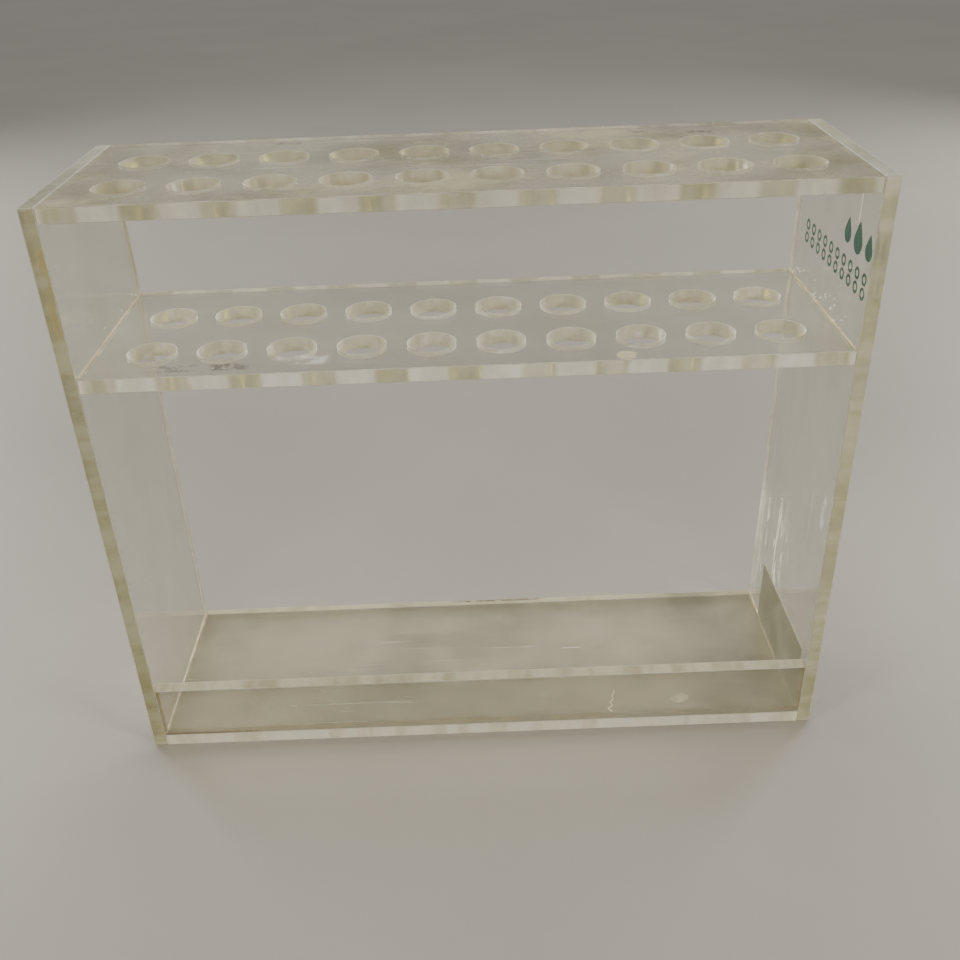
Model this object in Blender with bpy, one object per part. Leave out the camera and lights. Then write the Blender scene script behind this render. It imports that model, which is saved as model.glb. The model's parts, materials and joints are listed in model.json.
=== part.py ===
"""Free-standing rack for chromatography columns, cemented from clear acrylic sheet.

Two end panels carry a top shelf and a middle shelf, both drilled with the same two rows of
holes, and a base plate with a low lip along its front edge. A column drops through a hole of
the top shelf and the hole below it, and its outlet hangs over the tray between base and lip.

Metres, +Z up, +X along the rack, front at -Y. The origin is the centre of the footprint, at
the level of the bench.
"""

import math

import bmesh
import bpy
from mathutils import Matrix, Vector

INCH = 0.0254

# Driving dimensions
RACK_WIDTH = 13 * INCH
RACK_DEPTH = 4 * INCH
RACK_HEIGHT = 0.2725
SHEET = INCH / 4
JOINT_GAP = 0.0003                 # clearance left in every cemented joint

MIDDLE_SHELF_TOP = 0.2020
LIP_HEIGHT = 0.0286

HOLE_DIAMETER = 13 / 16 * INCH
HOLES_PER_ROW = 10
HOLE_PITCH = 0.0299
FRONT_ROW_SETBACK = 0.0263         # from the front face to the centres of the front row
ROW_SPACING = 0.0405
HOLE_SEGMENTS = 24
SHARP_ANGLE = math.radians(40)

LABEL_THICKNESS = 0.0004
LABEL_LENGTH = 0.072
LABEL_HEIGHT = 0.0345

# Places that follow from them
FRONT = -RACK_DEPTH / 2
BACK = RACK_DEPTH / 2
PANEL_INNER = RACK_WIDTH / 2 - SHEET
SHELF_HALF_LENGTH = PANEL_INNER - JOINT_GAP
BASE_TOP = SHEET
LIP_BACK = FRONT + SHEET


def clear_scene():
    """Remove every object of the open file."""
    for obj in list(bpy.data.objects):
        bpy.data.objects.remove(obj)


def make_material(name, colour, roughness, transmission=0.0):
    """Return a Principled material with one colour, for acrylic or for the label."""
    material = bpy.data.materials.new(name)
    material.use_nodes = True
    shader = material.node_tree.nodes["Principled BSDF"]
    shader.inputs["Base Color"].default_value = (*colour, 1.0)
    shader.inputs["Roughness"].default_value = roughness
    shader.inputs["Metallic"].default_value = 0.0
    shader.inputs["IOR"].default_value = 1.49
    shader.inputs["Transmission Weight"].default_value = transmission
    material.diffuse_color = (*colour, 1.0 - 0.6 * transmission)
    return material


def add_object(name, mesh, material=None):
    """Link a mesh to the scene as a named object and give it its material."""
    obj = bpy.data.objects.new(name, mesh)
    if material is not None:
        mesh.materials.append(material)
    bpy.context.scene.collection.objects.link(obj)
    return obj


def make_sheet(name, low, high, material):
    """Make one rectangular piece of sheet between two opposite corners.

    The object's location is the piece's centre.
    """
    low, high = Vector(low), Vector(high)
    size = high - low
    bm = bmesh.new()
    bmesh.ops.create_cube(bm, size=1.0, matrix=Matrix.Diagonal((*size, 1.0)))
    mesh = bpy.data.meshes.new(name)
    bm.to_mesh(mesh)
    bm.free()
    obj = add_object(name, mesh, material)
    obj.location = (low + high) / 2
    return obj


def hole_centres():
    """Return the plan positions of the holes, front row first, left to right."""
    rows = (FRONT + FRONT_ROW_SETBACK, FRONT + FRONT_ROW_SETBACK + ROW_SPACING)
    offset = (HOLES_PER_ROW - 1) / 2
    return [((i - offset) * HOLE_PITCH, y) for y in rows for i in range(HOLES_PER_ROW)]


def make_drill():
    """Make the cutter that drills both shelves in one pass, so their holes line up."""
    overshoot = SHEET
    bottom = MIDDLE_SHELF_TOP - SHEET - overshoot
    top = RACK_HEIGHT + overshoot
    bm = bmesh.new()
    for x, y in hole_centres():
        bmesh.ops.create_cone(
            bm, cap_ends=True, cap_tris=False, segments=HOLE_SEGMENTS,
            radius1=HOLE_DIAMETER / 2, radius2=HOLE_DIAMETER / 2, depth=top - bottom,
            matrix=Matrix.Translation((x, y, (top + bottom) / 2)))
    mesh = bpy.data.meshes.new("shelf_drill")
    bm.to_mesh(mesh)
    bm.free()
    drill = add_object("shelf_drill", mesh)
    drill.hide_render = True
    drill.display_type = "WIRE"
    return drill


def drill_sheet(obj, drill):
    """Cut the drill's holes through a sheet and keep the result as the sheet's own mesh."""
    cut = obj.modifiers.new("column_holes", "BOOLEAN")
    cut.operation = "DIFFERENCE"
    cut.solver = "EXACT"
    cut.object = drill
    bpy.context.view_layer.update()
    evaluated = obj.evaluated_get(bpy.context.evaluated_depsgraph_get())
    mesh = bpy.data.meshes.new_from_object(evaluated)
    obj.modifiers.clear()
    obj.data = mesh
    mesh.shade_smooth()
    mesh.set_sharp_from_angle(angle=SHARP_ANGLE)


def make_end_panel(name, side, material):
    """Make one full-height end panel: side is -1 for the left one and 1 for the right one."""
    inner, outer = side * PANEL_INNER, side * RACK_WIDTH / 2
    return make_sheet(name, (min(inner, outer), FRONT, 0.0),
                      (max(inner, outer), BACK, RACK_HEIGHT), material)


def make_shelf(name, top, material, drill):
    """Make one drilled shelf between the end panels, with its upper face at the height top."""
    shelf = make_sheet(name, (-SHELF_HALF_LENGTH, FRONT, top - SHEET),
                       (SHELF_HALF_LENGTH, BACK, top), material)
    drill_sheet(shelf, drill)
    return shelf


def make_base_plate(material):
    """Make the base plate, which rests on the bench between the end panels."""
    return make_sheet("base_plate", (-SHELF_HALF_LENGTH, FRONT, 0.0),
                      (SHELF_HALF_LENGTH, BACK, BASE_TOP), material)


def make_front_lip(material):
    """Make the lip that stands on the base plate, flush with its front edge."""
    return make_sheet("front_lip", (-SHELF_HALF_LENGTH, FRONT, BASE_TOP + JOINT_GAP),
                      (SHELF_HALF_LENGTH, LIP_BACK, BASE_TOP + LIP_HEIGHT), material)


def make_side_label(material):
    """Make the blank label on the right panel's inner face, low down behind the lip."""
    outer = PANEL_INNER - JOINT_GAP
    front = LIP_BACK + 2 * JOINT_GAP
    bottom = BASE_TOP + JOINT_GAP
    return make_sheet("side_label", (outer - LABEL_THICKNESS, front, bottom),
                      (outer, front + LABEL_LENGTH, bottom + LABEL_HEIGHT), material)


def main():
    """Build the rack."""
    clear_scene()
    clear = (0.93, 0.93, 0.86)
    aged = (0.90, 0.89, 0.78)
    drill = make_drill()
    make_end_panel("left_end_panel", -1, make_material("left_panel_acrylic", aged, 0.12, 0.9))
    make_end_panel("right_end_panel", 1, make_material("right_panel_acrylic", clear, 0.10, 0.9))
    make_shelf("top_shelf", RACK_HEIGHT, make_material("top_shelf_acrylic", aged, 0.18, 0.9), drill)
    make_shelf("middle_shelf", MIDDLE_SHELF_TOP,
               make_material("middle_shelf_acrylic", clear, 0.12, 0.9), drill)
    make_base_plate(make_material("base_acrylic", aged, 0.15, 0.9))
    make_front_lip(make_material("lip_acrylic", clear, 0.12, 0.9))
    make_side_label(make_material("label_film", (0.10, 0.095, 0.08), 0.55))


main()
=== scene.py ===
"""Looks of a free-standing column rack, cemented from clear acrylic sheet.

Every sheet of the rack is made again here with fine edges and round holes, and gets the finish
that an old bench rack has: hazed faces, cream sawn edges, chalky drilled walls, cement in the
joints, dust, scuffs and dried runs. The sheets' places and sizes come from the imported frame, and
what lies on them is placed in the same frame, in metres.
"""

from __future__ import annotations

import json
import logging
import math
import random
from dataclasses import dataclass, field, replace
from enum import Enum, IntEnum
from typing import ClassVar, Union

import bmesh
import bpy
from mathutils import Matrix, Vector, noise


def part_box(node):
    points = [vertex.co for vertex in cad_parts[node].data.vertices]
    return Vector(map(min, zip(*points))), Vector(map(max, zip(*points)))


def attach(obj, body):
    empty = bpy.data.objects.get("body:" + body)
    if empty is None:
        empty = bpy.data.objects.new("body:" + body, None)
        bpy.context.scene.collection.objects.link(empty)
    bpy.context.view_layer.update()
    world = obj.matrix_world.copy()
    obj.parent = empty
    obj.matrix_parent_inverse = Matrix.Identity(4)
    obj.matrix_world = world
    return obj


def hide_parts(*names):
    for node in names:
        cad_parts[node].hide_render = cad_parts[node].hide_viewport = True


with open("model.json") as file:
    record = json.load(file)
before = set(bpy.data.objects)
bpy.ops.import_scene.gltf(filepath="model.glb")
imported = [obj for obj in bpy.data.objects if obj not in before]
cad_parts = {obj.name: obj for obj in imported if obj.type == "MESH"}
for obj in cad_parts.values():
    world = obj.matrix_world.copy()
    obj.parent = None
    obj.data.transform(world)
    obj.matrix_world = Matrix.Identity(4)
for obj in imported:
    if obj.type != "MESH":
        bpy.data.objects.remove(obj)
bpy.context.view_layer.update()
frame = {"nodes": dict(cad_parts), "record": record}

log = logging.getLogger("column_rack")

Triple = tuple[float, float, float]
Colour = Triple
Socket = bpy.types.NodeSocket
Value = Union[bpy.types.NodeSocket, float]
Tone = Union[bpy.types.NodeSocket, Colour]

ROOT = "root"
MM = 0.001
ACRYLIC_IOR = 1.49
SHARP_ANGLE = math.radians(15)
SQUARE_ANGLE = math.radians(60)
SQUARE_ON = 0.99
TOUCHING = 1e-6
END_WAYS: tuple[Triple, ...] = ((-1.0, 0.0, 0.0), (1.0, 0.0, 0.0))
DOWN: Triple = (0.0, 0.0, -1.0)

WHITE: Colour = (0.86, 0.84, 0.78)
CREAM: Colour = (0.86, 0.80, 0.66)
BLACK_DIRT: Colour = (0.16, 0.15, 0.12)
BROWN_DIRT: Colour = (0.20, 0.16, 0.10)
RUST_DIRT: Colour = (0.22, 0.15, 0.08)


class Cut(IntEnum):
    """How a face of a sheet was made, which is also its material slot."""

    FACE = 0
    SAWN = 1
    CHALKY = 2
    JOINT = 3


class Axis(IntEnum):
    """A direction of the frame."""

    X = 0
    Y = 1
    Z = 2


class Side(IntEnum):
    """An end of the rack, as the sign of its X."""

    LEFT = -1
    RIGHT = 1


class Lights(Enum):
    """The kinds of lamp in the studio."""

    SOFT_BOX = "AREA"
    SKY = "SUN"


@dataclass(frozen=True)
class Body:
    """What the depth of the acrylic does to light: it leaves a yellow tone."""

    colour: Colour = (0.77, 0.75, 0.42)
    density: float = 4.0


@dataclass(frozen=True)
class HoleRow:
    """Where the holes behind a sawn edge stand, for the painted glow of their lit chalky walls on
    it.
    """

    first: float
    pitch: float
    half_width: float = 8.0 * MM
    soft: float = 1.8 * MM
    strength: float = 0.22


@dataclass(frozen=True)
class Patch:
    """A worn or soiled place on a sheet, as a soft box in the frame with ragged borders.

    grain is how fine its ragged pattern is along each axis, and low and high are the values of
    that pattern between which the cover grows from nothing to full.
    """

    middle: Triple
    reach: Triple
    strength: float = 0.8
    grain: Triple = (60.0, 60.0, 60.0)
    low: float = 0.45
    high: float = 0.60
    colour: Colour = (0.80, 0.77, 0.68)


@dataclass(frozen=True)
class Pattern:
    """A noise pattern: how fine it is, how it is layered, shifted and stretched."""

    scale: float = 1.0
    detail: float = 3.0
    rough: float = 0.5
    shift: float = 0.0
    stretch: Triple = (1.0, 1.0, 1.0)


@dataclass(frozen=True)
class Ramp:
    """A smooth change from least to most between two values, held past both of them."""

    low: float
    high: float
    least: float = 0.0
    most: float = 1.0


def grained(axis: Axis, along: float, across: float) -> Triple:
    """Return the scales of a pattern that runs along one axis of the frame."""
    return tuple(along if other is axis else across for other in Axis)


def corners_of(geometry: list) -> list[bmesh.types.BMVert]:
    """Return only the vertices of what a bmesh operator gave back."""
    return [part for part in geometry if isinstance(part, bmesh.types.BMVert)]


class Graph:
    """A material's node tree, with short calls that add one node and return what it gives."""

    def __init__(self, name: str) -> None:
        """Start an empty node material.

        Args:
            name: The material's name.
        """
        self.material = bpy.data.materials.new(name)
        self.material.use_nodes = True
        self.tree = self.material.node_tree
        self.tree.nodes.clear()
        self.place = self.node("ShaderNodeTexCoord").outputs["Object"]

    def node(self, kind: str, inputs: dict | None = None, **settings: object) -> bpy.types.Node:
        """Add a node.

        Args:
            kind: The node's type name.
            inputs: Values or sockets for its inputs, by name or number.
            settings: Attributes of the node itself.

        Returns:
            The new node.
        """
        made = self.tree.nodes.new(kind)
        for key, value in settings.items():
            setattr(made, key, value)
        for key, value in (inputs or {}).items():
            if isinstance(value, bpy.types.NodeSocket):
                self.tree.links.new(value, made.inputs[key])
            else:
                made.inputs[key].default_value = value
        return made

    def along(self, axis: Axis) -> Socket:
        """Return each point's place along an axis of the frame."""
        return self.node("ShaderNodeSeparateXYZ", {0: self.place}).outputs[axis]

    def looks(self, axis: Axis) -> Socket:
        """Return how far the surface faces along an axis of the frame, from -1 to 1."""
        normal = self.node("ShaderNodeTexCoord").outputs["Normal"]
        return self.node("ShaderNodeSeparateXYZ", {0: normal}).outputs[axis]

    def moved(self, shift: float, stretch: Triple = (1.0, 1.0, 1.0)) -> Socket:
        """Return Object coordinates, shifted along the diagonal and stretched."""
        return self.node("ShaderNodeMapping", {
            "Vector": self.place, "Location": (shift,) * 3, "Scale": stretch}).outputs[0]

    def noise(self, pattern: Pattern, seed: float = 0.0) -> Socket:
        """Return a noise value, from about 0.3 to 0.7.

        Args:
            pattern: What the noise is like.
            seed: Added to the pattern's shift, so that two sheets differ.

        Returns:
            The noise socket.
        """
        return self.node("ShaderNodeTexNoise", {
            "Vector": self.moved(seed + pattern.shift, pattern.stretch), "Scale": pattern.scale,
            "Detail": pattern.detail, "Roughness": pattern.rough}).outputs[0]

    def cells(self, scale: float, seed: float) -> Socket:
        """Return how far each point is from the middle of its cell, in a pattern of cells."""
        return self.node("ShaderNodeTexVoronoi", {"Vector": self.moved(seed), "Scale": scale},
                         feature="F1").outputs["Distance"]

    def fade(self, value: Value, ramp: Ramp) -> Socket:
        """Return a value taken through a ramp."""
        return self.node("ShaderNodeMapRange", {
            "Value": value, "From Min": ramp.low, "From Max": ramp.high, "To Min": ramp.least,
            "To Max": ramp.most}, interpolation_type="SMOOTHSTEP").outputs[0]

    def math(self, operation: str, first: Value, second: Value = 0.0) -> Socket:
        """Return the result of one math operation."""
        return self.node("ShaderNodeMath", {0: first, 1: second}, operation=operation).outputs[0]

    def times(self, first: Value, second: Value) -> Socket:
        """Return the product of two values."""
        return self.math("MULTIPLY", first, second)

    def total(self, *values: Value) -> Socket:
        """Add values up.

        Args:
            values: Two or more values.

        Returns:
            Their sum, at most 1.
        """
        result = values[0]
        for value in values[1:]:
            result = self.math("ADD", result, value)
        return self.math("MINIMUM", result, 1.0)

    def blend(self, factor: Value, first: Tone, second: Tone) -> Socket:
        """Go from one colour to another.

        Args:
            factor: 0 for the first colour and 1 for the second.
            first: A colour or a colour socket.
            second: Another one.

        Returns:
            The colour between them.
        """
        made = self.node("ShaderNodeMix", data_type="RGBA")
        for socket, value in ((made.inputs[0], factor), (made.inputs[6], first),
                              (made.inputs[7], second)):
            if isinstance(value, bpy.types.NodeSocket):
                self.tree.links.new(value, socket)
            else:
                socket.default_value = (*value, 1.0) if isinstance(value, tuple) else value
        return made.outputs[2]

    def bump(self, height: Socket, strength: float, distance: float) -> Socket:
        """Return a normal bent by a height pattern."""
        return self.node("ShaderNodeBump", {"Height": height, "Strength": strength,
                                            "Distance": distance}).outputs[0]

    def mix(self, factor: Value, first: Socket, second: Socket) -> Socket:
        """Return a mix of two shaders."""
        return self.node("ShaderNodeMixShader", {0: factor, 1: first, 2: second}).outputs[0]

    def acrylic(self, tint: Colour, roughness: Value, normal: Socket | None = None) -> Socket:
        """Make clear acrylic.

        Args:
            tint: What its surface leaves of each colour.
            roughness: How blurred it is.
            normal: A bent normal, if it has one.

        Returns:
            The shader.
        """
        inputs = {"Base Color": (*tint, 1.0), "Roughness": roughness, "IOR": ACRYLIC_IOR,
                  "Transmission Weight": 1.0}
        if normal is not None:
            inputs["Normal"] = normal
        return self.node("ShaderNodeBsdfPrincipled", inputs).outputs[0]

    def chalk(self, colour: Tone, through: float = 0.4, normal: Socket | None = None) -> Socket:
        """Make a dry film that scatters light back and onwards.

        Args:
            colour: Its colour or colour socket.
            through: The share of the light that it scatters onwards.
            normal: A bent normal, if it has one.

        Returns:
            The shader.
        """
        inputs = {"Color": colour if isinstance(colour, bpy.types.NodeSocket) else (*colour, 1.0)}
        if normal is not None:
            inputs["Normal"] = normal
        back = self.node("ShaderNodeBsdfDiffuse", inputs).outputs[0]
        onwards = self.node("ShaderNodeBsdfTranslucent", inputs).outputs[0]
        return self.mix(through, back, onwards)

    def lit_through(self, surface: Socket, passed: Colour) -> Socket:
        """Let lamps shine through a surface.

        Args:
            surface: The shader that everything but a lamp's shadow meets.
            passed: What is left of each colour of the lamp's light.

        Returns:
            The shader.
        """
        clear = self.node("ShaderNodeBsdfTransparent", {"Color": (*passed, 1.0)}).outputs[0]
        shadow = self.node("ShaderNodeLightPath").outputs["Is Shadow Ray"]
        return self.mix(shadow, surface, clear)

    def patch(self, place: Patch) -> Socket:
        """Find where a worn or soiled place covers the surface.

        Args:
            place: The patch.

        Returns:
            How strongly it covers each point, from 0 to its strength.
        """
        ragged = self.noise(Pattern(1.0, 4.0, 0.6, stretch=place.grain))
        cover = self.fade(ragged, Ramp(place.low, place.high))
        for axis in Axis:
            off = self.math("ABSOLUTE", self.math("SUBTRACT", self.along(axis), place.middle[axis]))
            near = self.fade(off, Ramp(place.reach[axis], 0.5 * place.reach[axis]))
            cover = self.times(cover, near)
        return self.times(cover, place.strength)

    def finish(self, surface: Socket, body: Body | None = None) -> bpy.types.Material:
        """Link a surface, and what the solid is made of, to the material's output.

        Args:
            surface: The shader of its surface.
            body: What its depth does to light, on a clear solid.

        Returns:
            The finished material.
        """
        inputs = {"Surface": surface}
        if body is not None:
            inputs["Volume"] = self.node("ShaderNodeVolumeAbsorption", {
                "Color": (*body.colour, 1.0), "Density": body.density}).outputs[0]
        self.node("ShaderNodeOutputMaterial", inputs)
        return self.material


@dataclass(frozen=True)
class ClearFace:
    """The broad polished face of a sheet: clear, with haze, dust, scratches and scuffs.

    haze, dust, graze and smears are shares of the face that a dry film hides: everywhere, in
    clouds and specks, towards a grazing view, and in wiped smears. inside is what is left of the
    film on the inner face of an end panel.
    """

    tint: Colour = (0.975, 0.97, 0.935)
    haze: float = 0.05
    dust: float = 0.15
    graze: float = 0.15
    smears: float = 0.06
    dust_colour: Colour = (0.46, 0.44, 0.31)
    soil_colour: Colour = (0.34, 0.32, 0.215)
    scratches: float = 0.35
    grain: Axis = Axis.X
    scuffs: tuple[Patch, ...] = ()
    inside: float = 1.0
    seed: float = 0.0

    WIDE: ClassVar[Pattern] = Pattern(9.0, 5.0, 0.6, 3.1)
    CLOUDS: ClassVar[Pattern] = Pattern(22.0, 7.0, 0.62, 5.7)
    SPECKS: ClassVar[Pattern] = Pattern(1400.0, 2.0)
    RIPPLES: ClassVar[Pattern] = Pattern(26.0, 2.0)
    RIPPLE_STRENGTH: ClassVar[float] = 0.12
    RIPPLE_HEIGHT: ClassVar[float] = 1.2 * MM
    GLOSS: ClassVar[Ramp] = Ramp(0.3, 0.75, 0.015, 0.10)
    PANEL_FACES: ClassVar[tuple[float, float]] = (0.161, 0.163)
    SCRATCHED: ClassVar[Colour] = (0.84, 0.81, 0.72)
    SCRATCH_THROUGH: ClassVar[float] = 0.3
    PASSED: ClassVar[float] = 0.88

    def film(self, g: Graph, smear: Socket) -> Socket:
        """Find how much of the face its dry film hides.

        Args:
            g: The material's graph.
            smear: The pattern of its wiped smears.

        Returns:
            The hidden share of each point.
        """
        clouds = g.fade(g.noise(self.CLOUDS, self.seed), Ramp(0.46, 0.74))
        specks = g.fade(g.noise(self.SPECKS, self.seed), Ramp(0.66, 0.74))
        facing = g.node("ShaderNodeLayerWeight", {"Blend": 0.5}).outputs["Facing"]
        film = g.total(g.times(clouds, self.dust), g.times(specks, self.dust),
                       g.fade(smear, Ramp(0.40, 0.66, 0.0, self.smears)),
                       g.times(g.math("POWER", facing, 2.0), self.graze), self.haze)
        if self.inside < 1.0:
            across = g.math("ABSOLUTE", g.along(Axis.X))
            film = g.times(film, g.fade(across, Ramp(*self.PANEL_FACES, self.inside, 1.0)))
        return film

    def make(self, name: str) -> bpy.types.Material:
        """Make the finish.

        Args:
            name: The material's name.

        Returns:
            The material.
        """
        g = Graph(name)
        fine = g.noise(Pattern(1.0, 2.0, stretch=grained(self.grain, 12.0, 900.0)), self.seed)
        wide = g.noise(self.WIDE, self.seed)
        smear = g.noise(Pattern(1.0, 6.0, 0.62, 9.4, grained(self.grain, 15.0, 26.0)), self.seed)
        lines = g.times(g.fade(fine, Ramp(0.66, 0.72)), g.fade(wide, Ramp(0.45, 0.62)))
        ripple = g.bump(g.noise(self.RIPPLES, self.seed), self.RIPPLE_STRENGTH, self.RIPPLE_HEIGHT)
        colour = g.blend(g.fade(smear, Ramp(0.38, 0.66)), self.dust_colour, self.soil_colour)
        surface = g.mix(self.film(g, smear),
                        g.acrylic(self.tint, g.fade(wide, self.GLOSS), ripple), g.chalk(colour))
        surface = g.mix(g.times(lines, self.scratches), surface,
                        g.chalk(self.SCRATCHED, self.SCRATCH_THROUGH))
        for scuff in self.scuffs:
            surface = g.mix(g.patch(scuff), surface, g.chalk(scuff.colour, self.SCRATCH_THROUGH))
        passed = tuple(self.PASSED * c for c in self.tint)
        return g.finish(g.lit_through(surface, passed), Body())


@dataclass(frozen=True)
class SawnEdge:
    """A sawn and scraped edge: mostly clear, partly cream, with saw marks and stains.

    back is what is left of the cream where the edge faces backwards, and top is what is added
    where it faces up.
    """

    clear_tint: Colour = (0.97, 0.96, 0.87)
    cream: Colour = (0.89, 0.85, 0.66)
    pale: Colour = (0.96, 0.93, 0.80)
    chalky: float = 0.40
    through: float = 0.5
    roughness: float = 0.14
    back: float = 1.0
    top: float = 0.0
    along: Axis = Axis.X
    holes: HoleRow | None = None
    stains: tuple[Patch, ...] = ()
    stain_colour: Colour = (0.50, 0.39, 0.19)
    seed: float = 0.0

    FLECKS: ClassVar[Pattern] = Pattern(260.0, 3.0, 0.6, 1.3)
    SAW_STRENGTH: ClassVar[float] = 0.15
    SAW_DEPTH: ClassVar[float] = 0.10 * MM
    BAND_SHARE: ClassVar[float] = 0.8
    FLECK_SHARE: ClassVar[float] = 0.2
    SHAKE: ClassVar[float] = 1.5 * MM
    PAINTED_HOLE_GLOW: ClassVar[Colour] = (0.99, 0.96, 0.89)
    FACES_THERE: ClassVar[tuple[float, float]] = (0.4, 0.6)
    STAIN_THROUGH: ClassVar[float] = 0.5
    PASSED: ClassVar[Colour] = (0.61, 0.61, 0.53)

    def painted_hole_glow(self, g: Graph, fleck: Socket) -> Socket:
        """Find where the painted glow of the lit hole walls goes on the edge.

        Args:
            g: The material's graph.
            fleck: The pattern that shakes the blocks' borders.

        Returns:
            1 in front of a hole and 0 between two holes.
        """
        row = self.holes
        shaken = g.math("ADD", g.along(Axis.X), g.times(fleck, self.SHAKE))
        off = g.math("PINGPONG", g.math("SUBTRACT", shaken, row.first), row.pitch / 2)
        return g.fade(off, Ramp(row.half_width + row.soft, row.half_width - row.soft))

    def make(self, name: str) -> bpy.types.Material:
        """Make the finish.

        Args:
            name: The material's name.

        Returns:
            The material.
        """
        g = Graph(name)
        saw = g.noise(Pattern(stretch=grained(self.along, 1100.0, 45.0)), self.seed)
        band = g.noise(Pattern(1.0, 3.0, 0.55, 6.0, grained(self.along, 85.0, 12.0)), self.seed)
        fleck = g.noise(self.FLECKS, self.seed)
        normal = g.bump(saw, self.SAW_STRENGTH, self.SAW_DEPTH)
        warm = g.blend(g.fade(band, Ramp(0.42, 0.60)), self.cream, self.pale)
        uneven = g.math("ADD", g.times(band, self.BAND_SHARE), g.times(fleck, self.FLECK_SHARE))
        chalky = g.fade(uneven, Ramp(0.36, 0.62, self.chalky * 0.85, self.chalky * 1.2))
        # Painted light: in front of each hole the edge is made chalkier and whiter, standing in for
        # the lit hole walls seen through it.
        if self.holes is not None:
            wall = self.painted_hole_glow(g, fleck)
            chalky = g.total(chalky, g.times(wall, self.holes.strength))
            warm = g.blend(wall, warm, self.PAINTED_HOLE_GLOW)
        if self.back < 1.0:
            behind = Ramp(*self.FACES_THERE, 1.0, self.back)
            chalky = g.times(chalky, g.fade(g.looks(Axis.Y), behind))
        if self.top > 0.0:
            upper = g.fade(g.looks(Axis.Z), Ramp(*self.FACES_THERE, 0.0, self.top))
            chalky = g.total(chalky, g.times(upper, g.fade(fleck, Ramp(0.3, 0.6, 0.6, 1.0))))
        surface = g.mix(chalky, g.acrylic(self.clear_tint, self.roughness, normal),
                        g.chalk(warm, self.through, normal))
        for stain in self.stains:
            surface = g.mix(g.patch(stain), surface,
                            g.chalk(self.stain_colour, self.STAIN_THROUGH, normal))
        return g.finish(g.lit_through(surface, self.PASSED), Body())


@dataclass(frozen=True)
class DrilledWall:
    """The wall of a drilled hole or a scraped arris: chalky cream with fine rings.

    Walls facing the front get painted shade: worn is what is left of their chalk, and they are
    duller.
    """

    colour: Colour = (1.0, 0.995, 0.97)
    dull: Colour = (0.62, 0.58, 0.48)
    chalky: float = 0.97
    worn: float = 0.78
    through: float = 0.28
    seed: float = 0.0

    RINGS: ClassVar[Pattern] = Pattern(1.0, 2.0, stretch=(60.0, 60.0, 1800.0))
    RING_STRENGTH: ClassVar[float] = 0.3
    RING_DEPTH: ClassVar[float] = 0.12 * MM
    BLOTCHES: ClassVar[Pattern] = Pattern(130.0, 4.0, 0.6, 2.2)
    CLEAR_TINT: ClassVar[Colour] = (0.96, 0.96, 0.90)
    CLEAR_ROUGHNESS: ClassVar[float] = 0.3
    PASSED: ClassVar[Colour] = (0.78, 0.78, 0.70)

    def make(self, name: str) -> bpy.types.Material:
        """Make the finish.

        Args:
            name: The material's name.

        Returns:
            The material.
        """
        g = Graph(name)
        rings = g.noise(self.RINGS, self.seed)
        blotch = g.noise(self.BLOTCHES, self.seed)
        normal = g.bump(rings, self.RING_STRENGTH, self.RING_DEPTH)
        back = g.looks(Axis.Y)
        spread = g.fade(blotch, Ramp(0.35, 0.65, self.chalky * 0.7, self.chalky * 1.3))
        # Painted shade: walls facing the front keep less chalk and take more of the dull colour, so
        # the far hole walls look darker than the near ones; blotch adds random tone.
        chalky = g.times(spread, g.fade(back, Ramp(0.25, -0.45, 1.0, self.worn)))
        front_shade_and_blotch = g.math("ADD", g.fade(back, Ramp(0.35, -0.35, -0.12, 0.20)), blotch)
        colour = g.blend(g.fade(front_shade_and_blotch, Ramp(0.45, 0.72)), self.colour, self.dull)
        surface = g.mix(chalky, g.acrylic(self.CLEAR_TINT, self.CLEAR_ROUGHNESS, normal),
                        g.chalk(colour, self.through, normal))
        return g.finish(g.lit_through(surface, self.PASSED), Body())


@dataclass(frozen=True)
class CementJoint:
    """A cemented end face: cream film with clear bubbles."""

    colour: Colour = (0.79, 0.775, 0.60)
    cover: float = 0.38
    least: float = 0.14
    seed: float = 0.0

    BUBBLE_SCALE: ClassVar[float] = 420.0
    BUBBLE_SHARE: ClassVar[float] = 0.35
    SPREAD: ClassVar[Pattern] = Pattern(45.0, 4.0, 0.6, 4.0)
    CLEAR_TINT: ClassVar[Colour] = (0.97, 0.96, 0.88)
    CLEAR_ROUGHNESS: ClassVar[float] = 0.08
    THROUGH: ClassVar[float] = 0.5
    PASSED: ClassVar[Colour] = (0.82, 0.82, 0.73)

    def make(self, name: str) -> bpy.types.Material:
        """Make the finish.

        Args:
            name: The material's name.

        Returns:
            The material.
        """
        g = Graph(name)
        bubbles = g.fade(g.cells(self.BUBBLE_SCALE, self.seed), Ramp(0.32, 0.20))
        spread = g.fade(g.noise(self.SPREAD, self.seed), Ramp(0.35, 0.7))
        film = g.total(g.times(g.times(bubbles, spread), self.BUBBLE_SHARE),
                       g.times(spread, self.cover), self.least)
        surface = g.mix(film, g.acrylic(self.CLEAR_TINT, self.CLEAR_ROUGHNESS),
                        g.chalk(self.colour, self.THROUGH))
        return g.finish(g.lit_through(surface, self.PASSED), Body())


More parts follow.
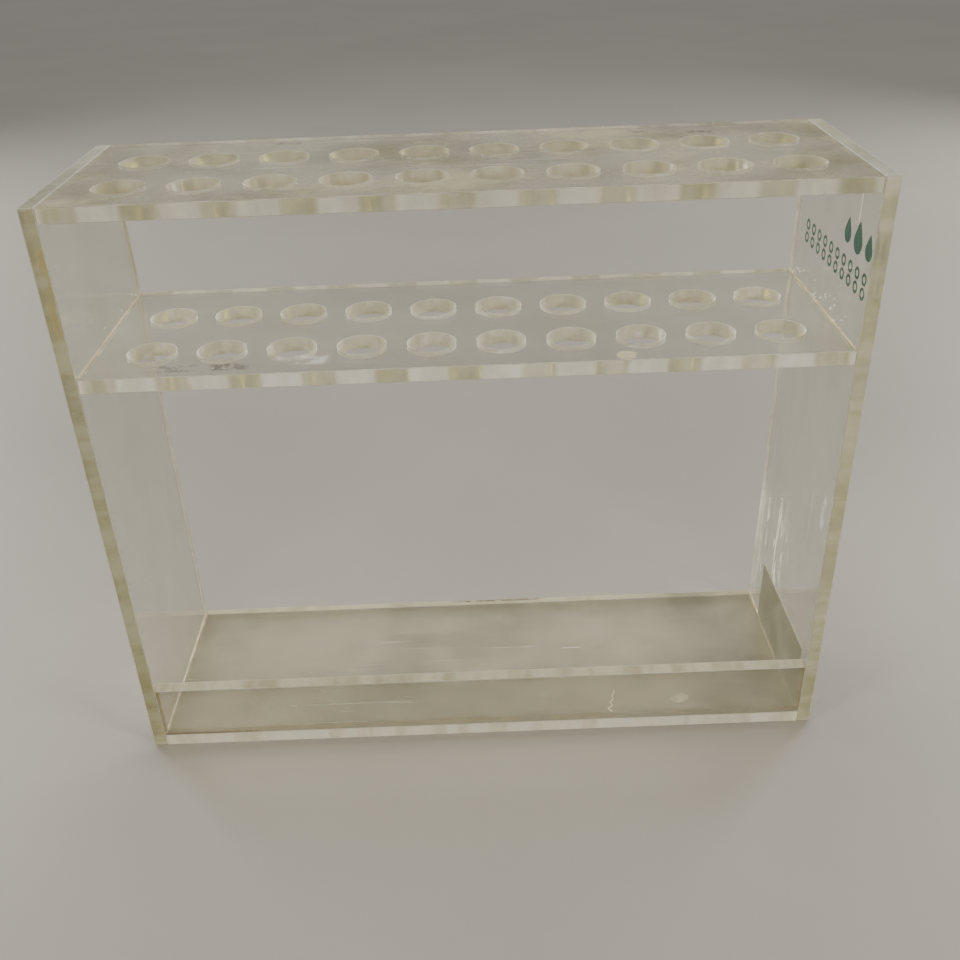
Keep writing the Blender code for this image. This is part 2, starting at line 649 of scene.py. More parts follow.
@dataclass(frozen=True)
class CementFillet:
    """Squeezed-out cement: milky and glossy, in places almost clear."""

    colour: Colour = (0.53, 0.43, 0.255)
    cover: tuple[float, float] = (0.60, 1.0)

    CLOUDS: ClassVar[Pattern] = Pattern(90.0, 4.0, 0.6)
    MILKY_ROUGHNESS: ClassVar[float] = 0.2
    CLEAR_TINT: ClassVar[Colour] = (0.98, 0.97, 0.92)
    CLEAR_ROUGHNESS: ClassVar[float] = 0.08
    PASSED: ClassVar[Colour] = (0.8, 0.8, 0.74)

    def make(self, name: str) -> bpy.types.Material:
        """Make the finish.

        Args:
            name: The material's name.

        Returns:
            The material.
        """
        g = Graph(name)
        film = g.fade(g.noise(self.CLOUDS), Ramp(0.38, 0.60, *self.cover))
        milky = g.node("ShaderNodeBsdfPrincipled", {
            "Base Color": (*self.colour, 1.0), "Roughness": self.MILKY_ROUGHNESS}).outputs[0]
        surface = g.mix(film, g.acrylic(self.CLEAR_TINT, self.CLEAR_ROUGHNESS), milky)
        return g.finish(g.lit_through(surface, self.PASSED))


@dataclass(frozen=True)
class Ink:
    """Screen-printed green ink, a little worn."""

    colour: Colour = (0.0, 0.058, 0.034)
    worn: Colour = (0.0, 0.12, 0.070)
    roughness: float = 0.5

    def make(self, name: str) -> bpy.types.Material:
        """Make the finish.

        Args:
            name: The material's name.

        Returns:
            The material.
        """
        g = Graph(name)
        wear = g.fade(g.noise(Pattern(500.0, 4.0, 0.7)), Ramp(0.5, 0.72))
        ink = g.node("ShaderNodeBsdfPrincipled", {
            "Base Color": g.blend(wear, self.colour, self.worn), "Roughness": self.roughness,
            "Specular IOR Level": 0.0})
        return g.finish(ink.outputs[0])


@dataclass(frozen=True)
class LabelFilm:
    """Dark olive label film, dull and scuffed."""

    colour: Colour = (0.205, 0.190, 0.118)
    scuffed: Colour = (0.27, 0.245, 0.165)

    def make(self, name: str) -> bpy.types.Material:
        """Make the finish.

        Args:
            name: The material's name.

        Returns:
            The material.
        """
        g = Graph(name)
        patch = g.noise(Pattern(60.0, 6.0, 0.65))
        film = g.node("ShaderNodeBsdfPrincipled", {
            "Base Color": g.blend(g.fade(patch, Ramp(0.42, 0.7)), self.colour, self.scuffed),
            "Roughness": g.fade(patch, Ramp(0.3, 0.7, 0.35, 0.6)),
            "Normal": g.bump(g.noise(Pattern(300.0)), 0.3, 0.1 * MM)})
        return g.finish(film.outputs[0])


def add_piece(name: str, bm: bmesh.types.BMesh, materials: list[bpy.types.Material],
              slot: str) -> bpy.types.Object:
    """Turn a finished bmesh into a piece that rides on the rack.

    Args:
        name: The piece's name.
        bm: Its mesh, in place in the frame; it is freed.
        materials: Its materials, in slot order.
        slot: The record's material slot; not used.

    Returns:
        The new object.
    """
    mesh = bpy.data.meshes.new(name)
    bm.to_mesh(mesh)
    bm.free()
    for material in materials:
        mesh.materials.append(material)
    mesh.shade_smooth()
    mesh.set_sharp_from_angle(angle=SHARP_ANGLE)
    piece = bpy.data.objects.new(name, mesh)
    bpy.context.scene.collection.objects.link(piece)
    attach(piece, ROOT)
    log.info("%s: %d faces", name, len(mesh.polygons))
    return piece


def joined(parts: list[bmesh.types.BMesh]) -> bmesh.types.BMesh:
    """Put several meshes into one and free them.

    Args:
        parts: The meshes, in place.

    Returns:
        One mesh with all of them.
    """
    whole = bmesh.new()
    carrier = bpy.data.meshes.new("carrier")
    for part in parts:
        part.to_mesh(carrier)
        part.free()
        whole.from_mesh(carrier)
    bpy.data.meshes.remove(carrier)
    return whole


def slab(low: Vector, high: Vector) -> bmesh.types.BMesh:
    """Make a plain box.

    Args:
        low: Its lowest corner.
        high: Its highest corner.

    Returns:
        The box, in place.
    """
    bm = bmesh.new()
    place = Matrix.Translation((high + low) / 2) @ Matrix.Diagonal((*(high - low), 1.0))
    bmesh.ops.create_cube(bm, size=1.0, matrix=place)
    return bm


@dataclass
class Sheet:
    """One sheet of acrylic, made again from its CAD box with eased edges."""

    node: str
    thin: Axis
    joints: tuple[Triple, ...] = ()
    face: ClearFace = field(default_factory=ClearFace)
    edge: SawnEdge = field(default_factory=SawnEdge)
    wall: DrilledWall = field(default_factory=DrilledWall)
    joint: CementJoint = field(default_factory=CementJoint)
    ease: float = 0.3 * MM

    def __post_init__(self) -> None:
        """Read the sheet's two corners from the frame."""
        self.low, self.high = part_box(self.node)

    def shape(self) -> bmesh.types.BMesh:
        """Return the plain slab, in place."""
        return slab(self.low, self.high)

    def ease_edges(self, bm: bmesh.types.BMesh) -> None:
        """Take the sharpness off every square edge that isn't cemented.

        Args:
            bm: The slab.
        """
        sharp = [e for e in bm.edges if e.is_manifold and e.calc_face_angle() > SQUARE_ANGLE
                 and all(self.cut_of(f) is not Cut.JOINT for f in e.link_faces)]
        bmesh.ops.bevel(bm, geom=sharp, offset=self.ease, segments=2, profile=0.5,
                        affect="EDGES", material=-1, clamp_overlap=True)

    def cut_of(self, face: bmesh.types.BMFace) -> Cut:
        """Tell how a face was made, from where it looks.

        Args:
            face: The face.

        Returns:
            How it was made.
        """
        strength = [abs(c) for c in face.normal]
        if strength[self.thin] > SQUARE_ON:
            return Cut.FACE
        if any(face.normal.dot(Vector(way)) > SQUARE_ON for way in self.joints):
            return Cut.JOINT
        return Cut.SAWN if max(strength) > SQUARE_ON else Cut.CHALKY

    def dress(self) -> list[bpy.types.Material]:
        """Return the sheet's materials in the order of Cut."""
        return [self.face.make(f"{self.node}_face"), self.edge.make(f"{self.node}_edge"),
                self.wall.make(f"{self.node}_wall"), self.joint.make(f"{self.node}_joint")]

    def build(self) -> bpy.types.Object:
        """Build the sheet, dress it and let it stand for its CAD node.

        Returns:
            The finished piece.
        """
        bm = self.shape()
        bm.normal_update()
        self.ease_edges(bm)
        bmesh.ops.recalc_face_normals(bm, faces=bm.faces)
        for face in bm.faces:
            face.material_index = self.cut_of(face)
        piece = add_piece(f"{self.node}_sheet", bm, self.dress(), self.node)
        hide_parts(self.node)
        return piece


@dataclass
class DrilledShelf(Sheet):
    """A shelf with two rows of round holes."""

    segments: int = 96
    row_soft: float = 1.8 * MM
    row_strength: float = 0.22

    def __post_init__(self) -> None:
        """Read the holes as well: their centres from the record, their size from the CAD."""
        super().__post_init__()
        boxes = [o["box_m"] for o in frame["record"]["physics"]["openings"]
                 if o["name"].startswith("column_")]
        self.centres = [(Vector(a) + Vector(b)).xy / 2 for a, b in boxes]
        first = self.centres[0]
        self.radius = min((v.co.xy - first).length for v in frame["nodes"][self.node].data.vertices)
        row = HoleRow(min(c.x for c in self.centres), 2 * self.spacing().x,
                      soft=self.row_soft, strength=self.row_strength)
        self.edge = replace(self.edge, holes=row)

    def spacing(self) -> Vector:
        """Measure the pattern of the holes.

        Returns:
            Half the distance between neighbouring holes along X and along Y.
        """
        across = sorted({round(c.x, 5) for c in self.centres})
        deep = sorted({round(c.y, 5) for c in self.centres})
        return Vector(((across[1] - across[0]) / 2, (deep[1] - deep[0]) / 2))

    def cell(self, bm: bmesh.types.BMesh, half: Vector) -> None:
        """Make one flat cell round the origin: a rectangle with a hole in it.

        Args:
            bm: The empty mesh that it is made in.
            half: Half the rectangle's sides.
        """
        bmesh.ops.create_circle(bm, cap_ends=False, radius=self.radius, segments=self.segments)
        outer = corners_of(bmesh.ops.extrude_edge_only(bm, edges=bm.edges[:])["geom"])
        for v in outer:
            reach = min(half.x / max(abs(v.co.x), 1e-9), half.y / max(abs(v.co.y), 1e-9))
            v.co.x *= reach
            v.co.y *= reach
        for sx, sy in ((1, 1), (1, -1), (-1, 1), (-1, -1)):
            corner = Vector((sx * half.x, sy * half.y, 0.0))
            min(outer, key=lambda v: (v.co - corner).length).co = corner

    def widen(self, bm: bmesh.types.BMesh, axis: Axis, end: float) -> None:
        """Carry the sheet's border on one side out to the sheet's own edge.

        Args:
            bm: The flat sheet.
            axis: The side's direction.
            end: Where the edge is along it.
        """
        side = max if end > 0 else min
        at = side(v.co[axis] for v in bm.verts)
        border = [e for e in bm.edges if e.is_boundary
                  and all(abs(v.co[axis] - at) < TOUCHING for v in e.verts)]
        for v in corners_of(bmesh.ops.extrude_edge_only(bm, edges=border)["geom"]):
            v.co[axis] = end

    def shape(self) -> bmesh.types.BMesh:
        """Make the drilled slab: one cell for each hole, widened and given its thickness.

        Returns:
            The slab, in place.
        """
        bm = bmesh.new()
        self.cell(bm, self.spacing())
        pattern = bm.verts[:] + bm.edges[:] + bm.faces[:]
        for centre in self.centres[1:]:
            copy = bmesh.ops.duplicate(bm, geom=pattern)["geom"]
            bmesh.ops.translate(bm, vec=centre.to_3d(), verts=corners_of(copy))
        bmesh.ops.translate(bm, vec=self.centres[0].to_3d(), verts=corners_of(pattern))
        bmesh.ops.remove_doubles(bm, verts=bm.verts, dist=TOUCHING)
        for axis in (Axis.Y, Axis.X):
            for end in (self.low[axis], self.high[axis]):
                self.widen(bm, axis, end)
        bmesh.ops.recalc_face_normals(bm, faces=bm.faces)
        lower = bmesh.ops.extrude_face_region(bm, geom=bm.faces[:], use_keep_orig=True)["geom"]
        bmesh.ops.translate(bm, vec=(0, 0, self.low.z - self.high.z), verts=corners_of(lower))
        bmesh.ops.translate(bm, vec=(0, 0, self.high.z), verts=bm.verts)
        bmesh.ops.recalc_face_normals(bm, faces=bm.faces)
        return bm

    def cut_of(self, face: bmesh.types.BMFace) -> Cut:
        """Tell how a face was made; the walls and chamfers of the holes are drilled.

        Args:
            face: The face.

        Returns:
            How it was made.
        """
        if abs(face.normal.z) < SQUARE_ON:
            middle = face.calc_center_median().xy
            if any((middle - c).length < self.radius + 2 * self.ease for c in self.centres):
                return Cut.CHALKY
        return super().cut_of(face)


@dataclass
class CementRuns:
    """The fillets of cement along the inner corners, one piece for each sheet."""

    radius: float = 0.45 * MM
    sides: int = 10
    pitch: float = 1.6 * MM
    width: float = 0.95
    uneven: float = 0.7
    waves: float = 160.0
    difference: float = 90.0
    finish: CementFillet = field(default_factory=CementFillet)

    def run(self, start: Vector, end: Vector) -> bmesh.types.BMesh:
        """Make one uneven round run of cement.

        Args:
            start: One end of the corner line.
            end: Its other end.

        Returns:
            The run, in place.
        """
        bm = bmesh.new()
        line = end - start
        bmesh.ops.create_cone(bm, cap_ends=True, segments=self.sides, radius1=self.radius,
                              radius2=self.radius, depth=line.length)
        long = [e for e in bm.edges if e.calc_length() > 0.9 * line.length]
        bmesh.ops.subdivide_edges(bm, edges=long, cuts=int(line.length / self.pitch))
        for v in bm.verts:
            at = Vector((v.co.z * self.waves, start.x * self.difference, start.z * self.difference))
            wide = self.width + self.uneven * noise.noise(at)
            v.co.x *= wide
            v.co.y *= wide
        turn = line.to_track_quat("Z", "Y").to_matrix().to_4x4()
        bmesh.ops.transform(bm, matrix=Matrix.Translation((start + end) / 2) @ turn,
                            verts=bm.verts)
        return bm

    def piece(self, name: str, slot: str, lines: list[tuple[Vector, Vector]]) -> None:
        """Make one piece from its corner lines.

        Args:
            name: The piece's name.
            slot: The slot of the sheet that the cement holds.
            lines: The two ends of each run.
        """
        add_piece(name, joined([self.run(start, end) for start, end in lines]),
                  [self.finish.make(name)], slot)

    def build(self) -> None:
        """Make the runs at the middle shelf, the base plate and the lip."""
        for node in ("middle_shelf", "base_plate"):
            low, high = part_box(node)
            self.piece(f"{node}_cement", node,
                       [(Vector((x, low.y + MM, high.z)), Vector((x, high.y - MM, high.z)))
                        for x in (low.x, high.x)])
        low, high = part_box("front_lip")
        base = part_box("base_plate")[1].z
        back = [(Vector((x, high.y, base)), Vector((x, high.y, high.z - MM)))
                for x in (low.x, high.x)]
        self.piece("front_lip_cement", "front_lip", back)


@dataclass
class CementSpecks:
    """Small drops of cement spattered on the inner face of an end panel, above the middle shelf."""

    side: Side
    count: int
    seed: int
    size: tuple[float, float] = (0.15 * MM, 0.55 * MM)
    margin: float = 4 * MM
    lowest: float = 0.6 * MM
    reach: float = 9 * MM
    flat: float = 0.5
    length: tuple[float, float] = (0.8, 1.6)
    finish: CementFillet = CementFillet(colour=(0.86, 0.84, 0.76), cover=(0.8, 1.0))

    def build(self) -> None:
        """Scatter the drops and add them as one piece."""
        draw = random.Random(self.seed)
        low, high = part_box("middle_shelf")
        face = low.x if self.side is Side.LEFT else high.x
        bm = bmesh.new()
        for _ in range(self.count):
            size = draw.uniform(*self.size) * draw.uniform(0.5, 1.0)
            y = draw.uniform(low.y + self.margin, high.y - self.margin)
            z = high.z + self.lowest + self.reach * draw.random() ** 2.5
            place = (Matrix.Translation((face, y, z))
                     @ Matrix.Diagonal((self.flat, 1.0, draw.uniform(*self.length), 1.0)))
            bmesh.ops.create_icosphere(bm, subdivisions=2, radius=size, matrix=place)
        name = f"{self.side.name.lower()}_cement_specks"
        add_piece(name, bm, [self.finish.make(name)], "middle_shelf")


@dataclass
class CementBlob:
    """A flat drop of cement that fell on a sheet and dried there."""

    name: str
    node: str
    place: Triple
    face: Axis
    size: Triple
    seed: float
    finish: CementFillet
    ragged: float = 0.30
    waves: float = 1.3

    def build(self) -> None:
        """Make the drop, with a ragged rim, and put it on its face."""
        bm = bmesh.new()
        bmesh.ops.create_icosphere(bm, subdivisions=4, radius=1.0)
        for v in bm.verts:
            flat = v.co.copy()
            flat[self.face] = 0.0
            rim = noise.noise(self.waves * flat + Vector((self.seed,) * 3))
            v.co *= 1.0 + self.ragged * rim
        bmesh.ops.scale(bm, vec=self.size, verts=bm.verts)
        bmesh.ops.translate(bm, vec=self.place, verts=bm.verts)
        add_piece(self.name, bm, [self.finish.make(self.name)], self.node)


@dataclass
class DriedRun:
    """A thin wavering run of cement down the lip's face."""

    x: float = 0.0655
    top: float = 24.7 * MM
    bottom: float = 11.0 * MM
    width: float = 0.75 * MM
    sway: float = 0.8 * MM
    wave: float = 4.2 * MM
    lean: float = 1.6 * MM
    top_width: float = 0.55
    growth: float = 0.75
    uneven: float = 0.5
    proud: float = 0.06 * MM
    thickness: float = 0.12 * MM
    finish: CementFillet = CementFillet(colour=(0.64, 0.60, 0.49), cover=(0.25, 0.8))

    def build(self) -> None:
        """Bend a narrow flat strip into the run and put it on the lip."""
        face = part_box("front_lip")[0].y
        length = self.top - self.bottom
        bm = bmesh.new()
        bmesh.ops.create_grid(bm, x_segments=3, y_segments=60, size=0.5)
        for v in bm.verts:
            down = 0.5 - v.co.y
            shake = self.uneven * noise.noise(Vector((0, 9 * down, 3)))
            wide = self.width * (self.top_width + self.growth * down + shake)
            bend = self.sway * (0.25 + down) * math.sin(2 * math.pi * down * length / self.wave)
            v.co = Vector((self.x + bend - self.lean * down + wide * v.co.x, face - self.proud,
                           self.top - down * length))
        bmesh.ops.solidify(bm, geom=bm.faces[:], thickness=self.thickness)
        bmesh.ops.recalc_face_normals(bm, faces=bm.faces)
        add_piece("lip_dried_run", bm, [self.finish.make("lip_dried_run")], "front_lip")


@dataclass
class SideLabel:
    """The blank label low on the right end panel."""

    node: str = "side_label"
    film: LabelFilm = LabelFilm()
    corner: float = 1.5 * MM

    def build(self) -> bpy.types.Object:
        """Build the label and let it stand for its CAD node.

        Returns:
            The finished piece.
        """
        low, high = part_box(self.node)
        bm = slab(low, high)
        thickness = (high - low).x
        short = [e for e in bm.edges
                 if abs((e.verts[0].co - e.verts[1].co).x) > 0.5 * thickness]
        bmesh.ops.bevel(bm, geom=short, offset=self.corner, segments=5, profile=0.5,
                        affect="EDGES", material=-1)
        piece = add_piece("side_label_film", bm, [self.film.make("side_label_film")], self.node)
        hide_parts(self.node)
        return piece


@dataclass
class PrintedMark:
    """A generic green print on the right panel's outer face: drops over a plan of the holes."""

    panel: str = "right_end_panel"
    ink: Ink = Ink()
    film: float = 0.05 * MM
    depth: float = 0.08 * MM
    inset: float = 10 * MM
    drop_radius: float = 4.9 * MM
    drop_sizes: tuple[float, ...] = (0.8, 1.0, 0.8)
    drop_taper: float = 0.55
    drop_point: float = 0.75
    drop_step: float = 12.5 * MM
    drops_down: float = 32.5 * MM
    ring_radius: float = 2.7 * MM
    ring_line: float = 1.35 * MM
    ring_step: float = 8.4 * MM
    rings_down: float = 44.0 * MM
    row_step: float = 6.0 * MM
    rows: int = 2
    columns: int = 10

    def __post_init__(self) -> None:
        """Read the panel's corners from the frame."""
        self.low, self.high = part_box(self.panel)

    def put(self, bm: bmesh.types.BMesh, along: float, down: float) -> bmesh.types.BMesh:
        """Give a flat outline its ink thickness and put it on the panel.

        Args:
            bm: The outline in the XY plane round the origin; it is turned to face +X.
            along: How far its centre is behind the first mark's.
            down: How far its centre is below the panel's top.

        Returns:
            The same mesh, in place.
        """
        upper = bmesh.ops.extrude_face_region(bm, geom=bm.faces[:], use_keep_orig=True)["geom"]
        bmesh.ops.translate(bm, vec=(0, 0, self.film), verts=corners_of(upper))
        turn = Matrix(((0, 0, 1, self.high.x - self.depth),
                       (1, 0, 0, self.low.y + self.inset + along),
                       (0, 1, 0, self.high.z - down), (0, 0, 0, 1)))
        bmesh.ops.transform(bm, matrix=turn, verts=bm.verts)
        bmesh.ops.recalc_face_normals(bm, faces=bm.faces)
        return bm

    def drop(self, radius: float) -> bmesh.types.BMesh:
        """Make a flat drop, round below and pointed above.

        Args:
            radius: The radius of its round end.

        Returns:
            Its outline, round the origin.
        """
        bm = bmesh.new()
        bmesh.ops.create_circle(bm, cap_ends=True, radius=radius, segments=40)
        for v in bm.verts:
            if v.co.y > 0:
                v.co.x *= 1 - (v.co.y / radius) ** 2 * self.drop_taper
                v.co.y *= 1 + self.drop_point * (v.co.y / radius)
        return bm

    def ring(self) -> bmesh.types.BMesh:
        """Make a flat ring.

        Returns:
            Its outline, round the origin.
        """
        bm = bmesh.new()
        for radius in (self.ring_radius, self.ring_radius - self.ring_line):
            bmesh.ops.create_circle(bm, cap_ends=False, radius=radius, segments=24)
        bmesh.ops.bridge_loops(bm, edges=bm.edges[:])
        return bm

    def build(self) -> None:
        """Build the drops and the plan of the holes as two pieces."""
        drops = [self.put(self.drop(self.drop_radius * size), step * self.drop_step,
                          self.drops_down) for step, size in enumerate(self.drop_sizes)]
        plan = [self.put(self.ring(), column * self.ring_step,
                         self.rings_down + row * self.row_step)
                for row in range(self.rows) for column in range(self.columns)]
        ink = self.ink.make("green_ink")
        add_piece("printed_drops", joined(drops), [ink], self.panel)
        add_piece("printed_hole_plan", joined(plan), [ink], self.panel)


@dataclass
class EndPanels:
    """The two upright end panels, with the stains and streaks on each."""

    ease: float = 0.45 * MM
    tint: Colour = (0.955, 0.95, 0.915)
    dust_colour: Colour = (0.32, 0.305, 0.215)
    soil_colour: Colour = (0.27, 0.255, 0.175)

    def face(self) -> ClearFace:
        """Return the finish of their broad faces."""
        return ClearFace(grain=Axis.Z, seed=1.0, haze=0.12, graze=0.45, inside=0.25,
                         scratches=0.2, tint=self.tint, dust_colour=self.dust_colour,
                         soil_colour=self.soil_colour)

    def left(self) -> None:
        """Build the left panel, with stained front and back edges."""
        amber = Patch((-0.1600, -0.0508, 0.238), (0.0030, 0.006, 0.042), 0.70,
                      (260.0, 60.0, 55.0), 0.44, 0.62)
        brown = Patch((-0.162, 0.0508, 0.232), (0.02, 0.006, 0.034), 0.6,
                      (90.0, 90.0, 60.0), 0.36, 0.56)
        Sheet("left_end_panel", Axis.X, ease=self.ease, face=self.face(),
              edge=SawnEdge(along=Axis.Z, seed=1.0, chalky=0.33, top=0.20,
                            stains=(amber, brown))).build()

    def right(self) -> None:
        """Build the right panel, with streaks of dried drops inside."""
        streaks = Patch((0.158, 0.018, 0.052), (0.004, 0.026, 0.036), 0.75,
                        (1200.0, 300.0, 52.0), 0.54, 0.62, CREAM)
        long_streak = Patch((0.158, 0.014, 0.064), (0.004, 0.0035, 0.034), 0.85,
                            (900.0, 460.0, 42.0), 0.44, 0.54, CREAM)
        front_smear = Patch((0.158, -0.0425, 0.118), (0.004, 0.0035, 0.012), 0.30,
                            (400.0, 260.0, 160.0), 0.38, 0.58, WHITE)
        back_band = Patch((0.159, 0.047, 0.045), (0.01, 0.005, 0.045), 0.55,
                          (300.0, 300.0, 20.0), 0.40, 0.60)
        hairline = Patch((0.166, -0.026, 0.2545), (0.004, 0.0006, 0.010), 0.8,
                         (30.0, 30.0, 30.0), 0.20, 0.30, WHITE)
        scuffs = (streaks, long_streak, front_smear, back_band, hairline)
        Sheet("right_end_panel", Axis.X, ease=self.ease,
              face=replace(self.face(), seed=2.0, inside=0.08, scuffs=scuffs),
              edge=SawnEdge(along=Axis.Z, seed=2.0, chalky=0.52, top=0.08)).build()

    def build(self) -> None:
        """Build both panels."""
        self.left()
        self.right()


@dataclass
class Shelves:
    """The two drilled shelves between the end panels."""

    row_soft: float = 1.3 * MM
    row_strength: float = 0.27

    def top(self) -> None:
        """Build the top shelf, dusty and with dirt at three holes."""
        top_dirt = tuple(Patch((x, y, 0.2725), (0.007, 0.003, 0.002), 0.7,
                               (420.0, 420.0, 420.0), 0.45, 0.56, BLACK_DIRT)
                         for x, y in ((-0.076, 0.040), (0.081, 0.0376), (0.1065, 0.033)))
        DrilledShelf("top_shelf", Axis.Z, END_WAYS,
                     # worn and dull set the painted shade on this shelf's front-facing hole walls.
                     wall=DrilledWall(chalky=0.66, worn=0.85, colour=(0.90, 0.87, 0.78),
                                      dull=(0.64, 0.59, 0.48)),
                     face=ClearFace(haze=0.14, dust=0.6, graze=0.34, seed=3.0, scuffs=top_dirt,
                                    dust_colour=(0.58, 0.53, 0.37),
                                    soil_colour=(0.32, 0.29, 0.19)),
                     edge=SawnEdge(seed=3.0, through=0.38)).build()

    def middle(self) -> None:
        """Build the middle shelf, with one smear and two smudges at its front."""
        smear = Patch((-0.0655, -0.0385, 0.202), (0.010, 0.0065, 0.002), 0.45,
                      (120.0, 120.0, 120.0), 0.30, 0.62, WHITE)
        smudges = tuple(Patch((x, -0.043, 0.202), (0.010, 0.004, 0.002), 0.85,
                              (300.0, 300.0, 300.0), 0.44, 0.58, BLACK_DIRT)
                        for x in (-0.120, -0.098))
        DrilledShelf("middle_shelf", Axis.Z, END_WAYS, row_soft=self.row_soft,
                     row_strength=self.row_strength,
                     face=ClearFace(haze=0.07, dust=0.18, graze=0.15, seed=4.0,
                                    scuffs=(smear, *smudges)),
                     edge=SawnEdge(seed=4.0, chalky=0.62, through=0.40, back=0.12)).build()

    def build(self) -> None:
        """Build both shelves."""
        self.top()
        self.middle()


@dataclass
class Base:
    """The base plate and the lip that stands along its front."""

    plate_ease: float = 0.15 * MM
    lip_ease: float = 0.2 * MM

    def plate(self) -> None:
        """Build the base plate, with bright cream edges."""
        scratch = Patch((0.050, 0.005, 0.0064), (0.007, 0.0006, 0.001), 0.35,
                        (40.0, 40.0, 40.0), 0.30, 0.40, WHITE)
        back_dirt = Patch((0.012, 0.0508, 0.0064), (0.030, 0.0022, 0.0016), 0.8,
                          (200.0, 300.0, 300.0), 0.40, 0.52, BROWN_DIRT)
        Sheet("base_plate", Axis.Z, END_WAYS, ease=self.plate_ease,
              face=ClearFace(tint=(0.95, 0.94, 0.885), haze=0.14, dust=0.15, seed=5.0,
                             dust_colour=(0.35, 0.335, 0.255), soil_colour=(0.23, 0.22, 0.165),
                             smears=0.12, scuffs=(scratch, back_dirt)),
              edge=SawnEdge(seed=5.0, chalky=1.0, through=0.3, cream=(0.97, 0.89, 0.69),
                            pale=(0.99, 0.94, 0.78), stains=(back_dirt,))).build()

    def lip(self) -> None:
        """Build the lip, cemented at both ends and along its foot."""
        lip_dirt = Patch((-0.136, -0.0508, 0.0068), (0.030, 0.0016, 0.0014), 0.8,
                         (120.0, 300.0, 300.0), 0.32, 0.55, RUST_DIRT)
        Sheet("front_lip", Axis.Y, (*END_WAYS, DOWN), ease=self.lip_ease,
              face=ClearFace(tint=(0.96, 0.95, 0.90), seed=6.0, haze=0.14, dust=0.25,
                             dust_colour=(0.43, 0.40, 0.30), soil_colour=(0.27, 0.25, 0.18),
                             smears=0.12, scuffs=(lip_dirt,)),
              edge=SawnEdge(seed=6.0, chalky=0.6, through=0.35, cream=(0.71, 0.63, 0.44),
                            pale=(0.77, 0.70, 0.52)),
              joint=CementJoint(colour=(0.33, 0.295, 0.20), cover=0.5, least=0.75)).build()

    def build(self) -> None:
        """Build the plate and the lip."""
        self.plate()
        self.lip()


@dataclass
class Cement:
    """All the squeezed-out, spattered and spilt cement."""

    shelf_size: Triple = (4.2 * MM, 4.4 * MM, 0.25 * MM)
    lip_size: Triple = (4.4 * MM, 0.22 * MM, 2.9 * MM)

    def build(self) -> None:
        """Build the runs, the specks, the two blobs and the dried run."""
        CementRuns().build()
        CementSpecks(Side.LEFT, 14, 7).build()
        CementSpecks(Side.RIGHT, 46, 11).build()
        CementBlob("shelf_blob", "middle_shelf", (0.0655, -0.0462, 0.2021), Axis.Z,
                   self.shelf_size, 1.0,
                   CementFillet(colour=(0.60, 0.55, 0.36), cover=(0.40, 0.60))).build()
        CementBlob("lip_blob", "front_lip", (0.0985, -0.0509, 0.0185), Axis.Y,
                   self.lip_size, 4.0,
                   CementFillet(colour=(0.62, 0.57, 0.44), cover=(0.15, 0.55))).build()
        DriedRun().build()


@dataclass(frozen=True)
class Lamp:
    """A square soft lamp that looks at the rack."""

    name: str
    place: Triple
    size: float
    power: float
    colour: Colour


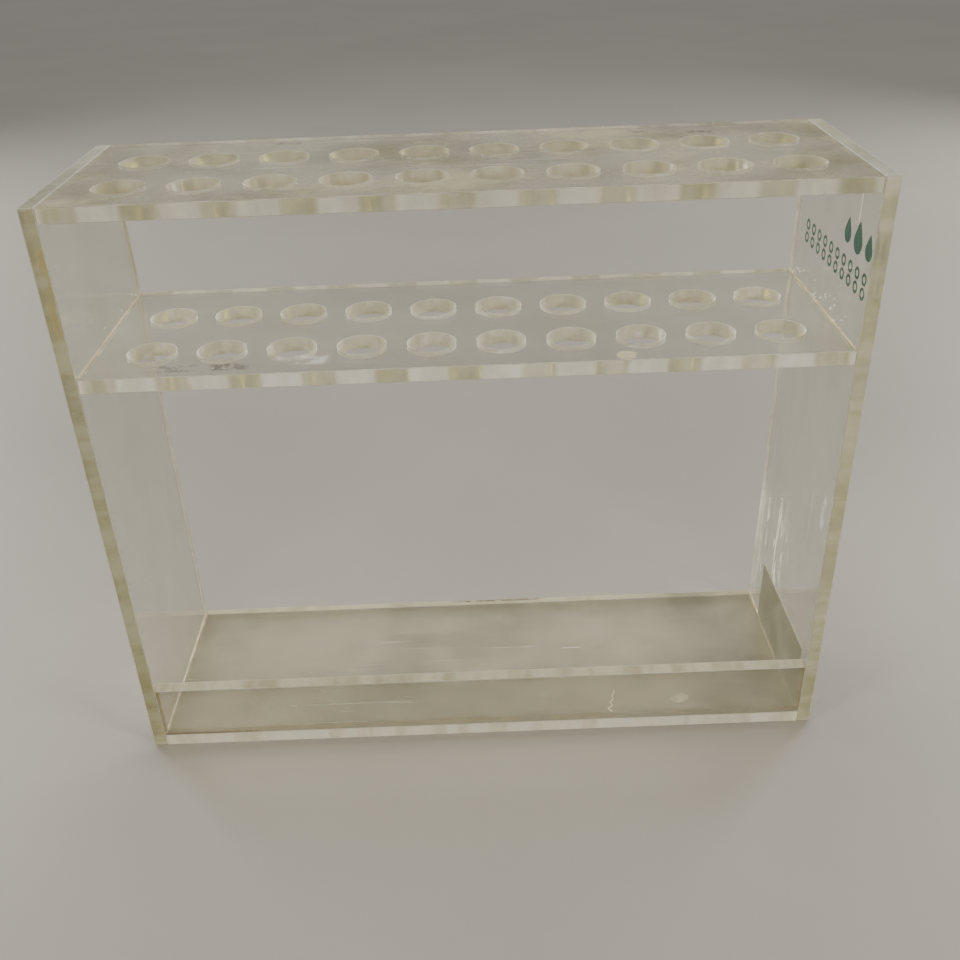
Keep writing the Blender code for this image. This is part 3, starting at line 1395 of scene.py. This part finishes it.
@dataclass
class Studio:
    """Floor, lamps, world and camera."""

    floor_size: float = 14.0
    floor_drop: float = 0.5 * MM
    floor_colour: Colour = (0.305, 0.275, 0.230)
    floor_shade: float = 0.95
    floor_roughness: float = 0.55
    world_colour: Colour = (0.84, 0.87, 0.90)
    world_strength: float = 0.33
    lamps: tuple[Lamp, ...] = (
        Lamp("key_right", (1.05, -0.75, 0.72), 0.28, 12.0, (1.0, 0.98, 0.95)),
        Lamp("key_left", (-1.05, -0.70, 0.75), 0.28, 10.0, (1.0, 0.98, 0.95)),
        Lamp("back_right", (1.10, 0.95, 0.62), 0.4, 12.0, (0.99, 0.99, 1.0)),
        Lamp("back_left", (-1.10, 0.95, 0.62), 0.4, 12.0, (0.99, 0.99, 1.0)))
    aim: Triple = (0.0, 0.0, 0.12)
    sky_from: Triple = (0.0, 0.42, 0.9)
    sky_strength: float = 1.05
    sky_width: float = math.radians(35)
    eye: Triple = (0.0030, -0.4389, 0.3772)
    pitch: float = math.radians(30.57)
    yaw: float = math.radians(0.08)
    roll: float = math.radians(-2.12)
    lens: float = 39.09
    sensor: float = 36.0
    nearest: float = 0.01
    bounces: int = 24
    clear_bounces: int = 32

    def build(self) -> None:
        """Make the whole setting."""
        self.let_light_through()
        self.make_floor()
        self.make_world()
        for lamp in self.lamps:
            self.make_lamp(lamp)
        self.make_sky()
        self.make_camera()

    def let_light_through(self) -> None:
        """Give light enough bounces to cross the rack's many clear walls."""
        cycles = bpy.context.scene.cycles
        cycles.max_bounces = self.bounces
        cycles.transmission_bounces = self.bounces
        cycles.transparent_max_bounces = self.clear_bounces

    def make_floor(self) -> None:
        """Make the plain pale floor."""
        bm = bmesh.new()
        bmesh.ops.create_grid(bm, x_segments=1, y_segments=1, size=self.floor_size / 2)
        mesh = bpy.data.meshes.new("floor")
        bm.to_mesh(mesh)
        bm.free()
        g = Graph("floor_paint")
        soft = g.noise(Pattern(3.0, 5.0, 0.55))
        colour = g.blend(g.fade(soft, Ramp(0.35, 0.65)), self.floor_colour,
                         tuple(self.floor_shade * c for c in self.floor_colour))
        paint = g.node("ShaderNodeBsdfPrincipled", {
            "Base Color": colour, "Roughness": self.floor_roughness})
        mesh.materials.append(g.finish(paint.outputs[0]))
        floor = bpy.data.objects.new("floor", mesh)
        bpy.context.scene.collection.objects.link(floor)
        floor.location.z = -self.floor_drop

    def make_world(self) -> None:
        """Light the scene softly from all round."""
        world = bpy.data.worlds.new("soft_room")
        world.use_nodes = True
        background = world.node_tree.nodes["Background"]
        background.inputs["Color"].default_value = (*self.world_colour, 1.0)
        background.inputs["Strength"].default_value = self.world_strength
        bpy.context.scene.world = world

    def hang(self, name: str, kind: Lights, way: Vector) -> bpy.types.Object:
        """Add a lamp that shines one way.

        Args:
            name: The lamp's name.
            kind: What kind of lamp it is.
            way: Where it shines.

        Returns:
            The lamp, at the origin.
        """
        lamp = bpy.data.objects.new(name, bpy.data.lights.new(name, kind.value))
        bpy.context.scene.collection.objects.link(lamp)
        lamp.rotation_euler = way.to_track_quat("-Z", "Y").to_euler()
        return lamp

    def make_lamp(self, lamp: Lamp) -> None:
        """Make one square soft lamp that looks at the rack.

        Args:
            lamp: Its name, place, size, power and colour.
        """
        made = self.hang(lamp.name, Lights.SOFT_BOX, Vector(self.aim) - Vector(lamp.place))
        made.location = lamp.place
        made.data.size = lamp.size
        made.data.energy = lamp.power
        made.data.color = lamp.colour

    def make_sky(self) -> None:
        """Make the wide even light from above that also reaches the far floor."""
        lamp = self.hang("sky", Lights.SKY, -Vector(self.sky_from))
        lamp.data.energy = self.sky_strength
        lamp.data.angle = self.sky_width

    def make_camera(self) -> None:
        """Make the camera and let the scene use it."""
        data = bpy.data.cameras.new("camera")
        data.lens = self.lens
        data.sensor_width = self.sensor
        data.clip_start = self.nearest
        camera = bpy.data.objects.new("camera", data)
        bpy.context.scene.collection.objects.link(camera)
        turn = (Matrix.Rotation(-self.yaw, 4, "Z")
                @ Matrix.Rotation(math.pi / 2 - self.pitch, 4, "X")
                @ Matrix.Rotation(self.roll, 4, "Z"))
        camera.matrix_world = Matrix.Translation(self.eye) @ turn
        bpy.context.scene.camera = camera


def main() -> None:
    """Build the setting and then the rack, one sub-assembly after the other."""
    logging.basicConfig(level=logging.INFO, format="%(message)s")
    Studio().build()
    EndPanels().build()
    Shelves().build()
    Base().build()
    Cement().build()
    SideLabel().build()
    PrintedMark().build()


if __name__ == "__main__":
    main()
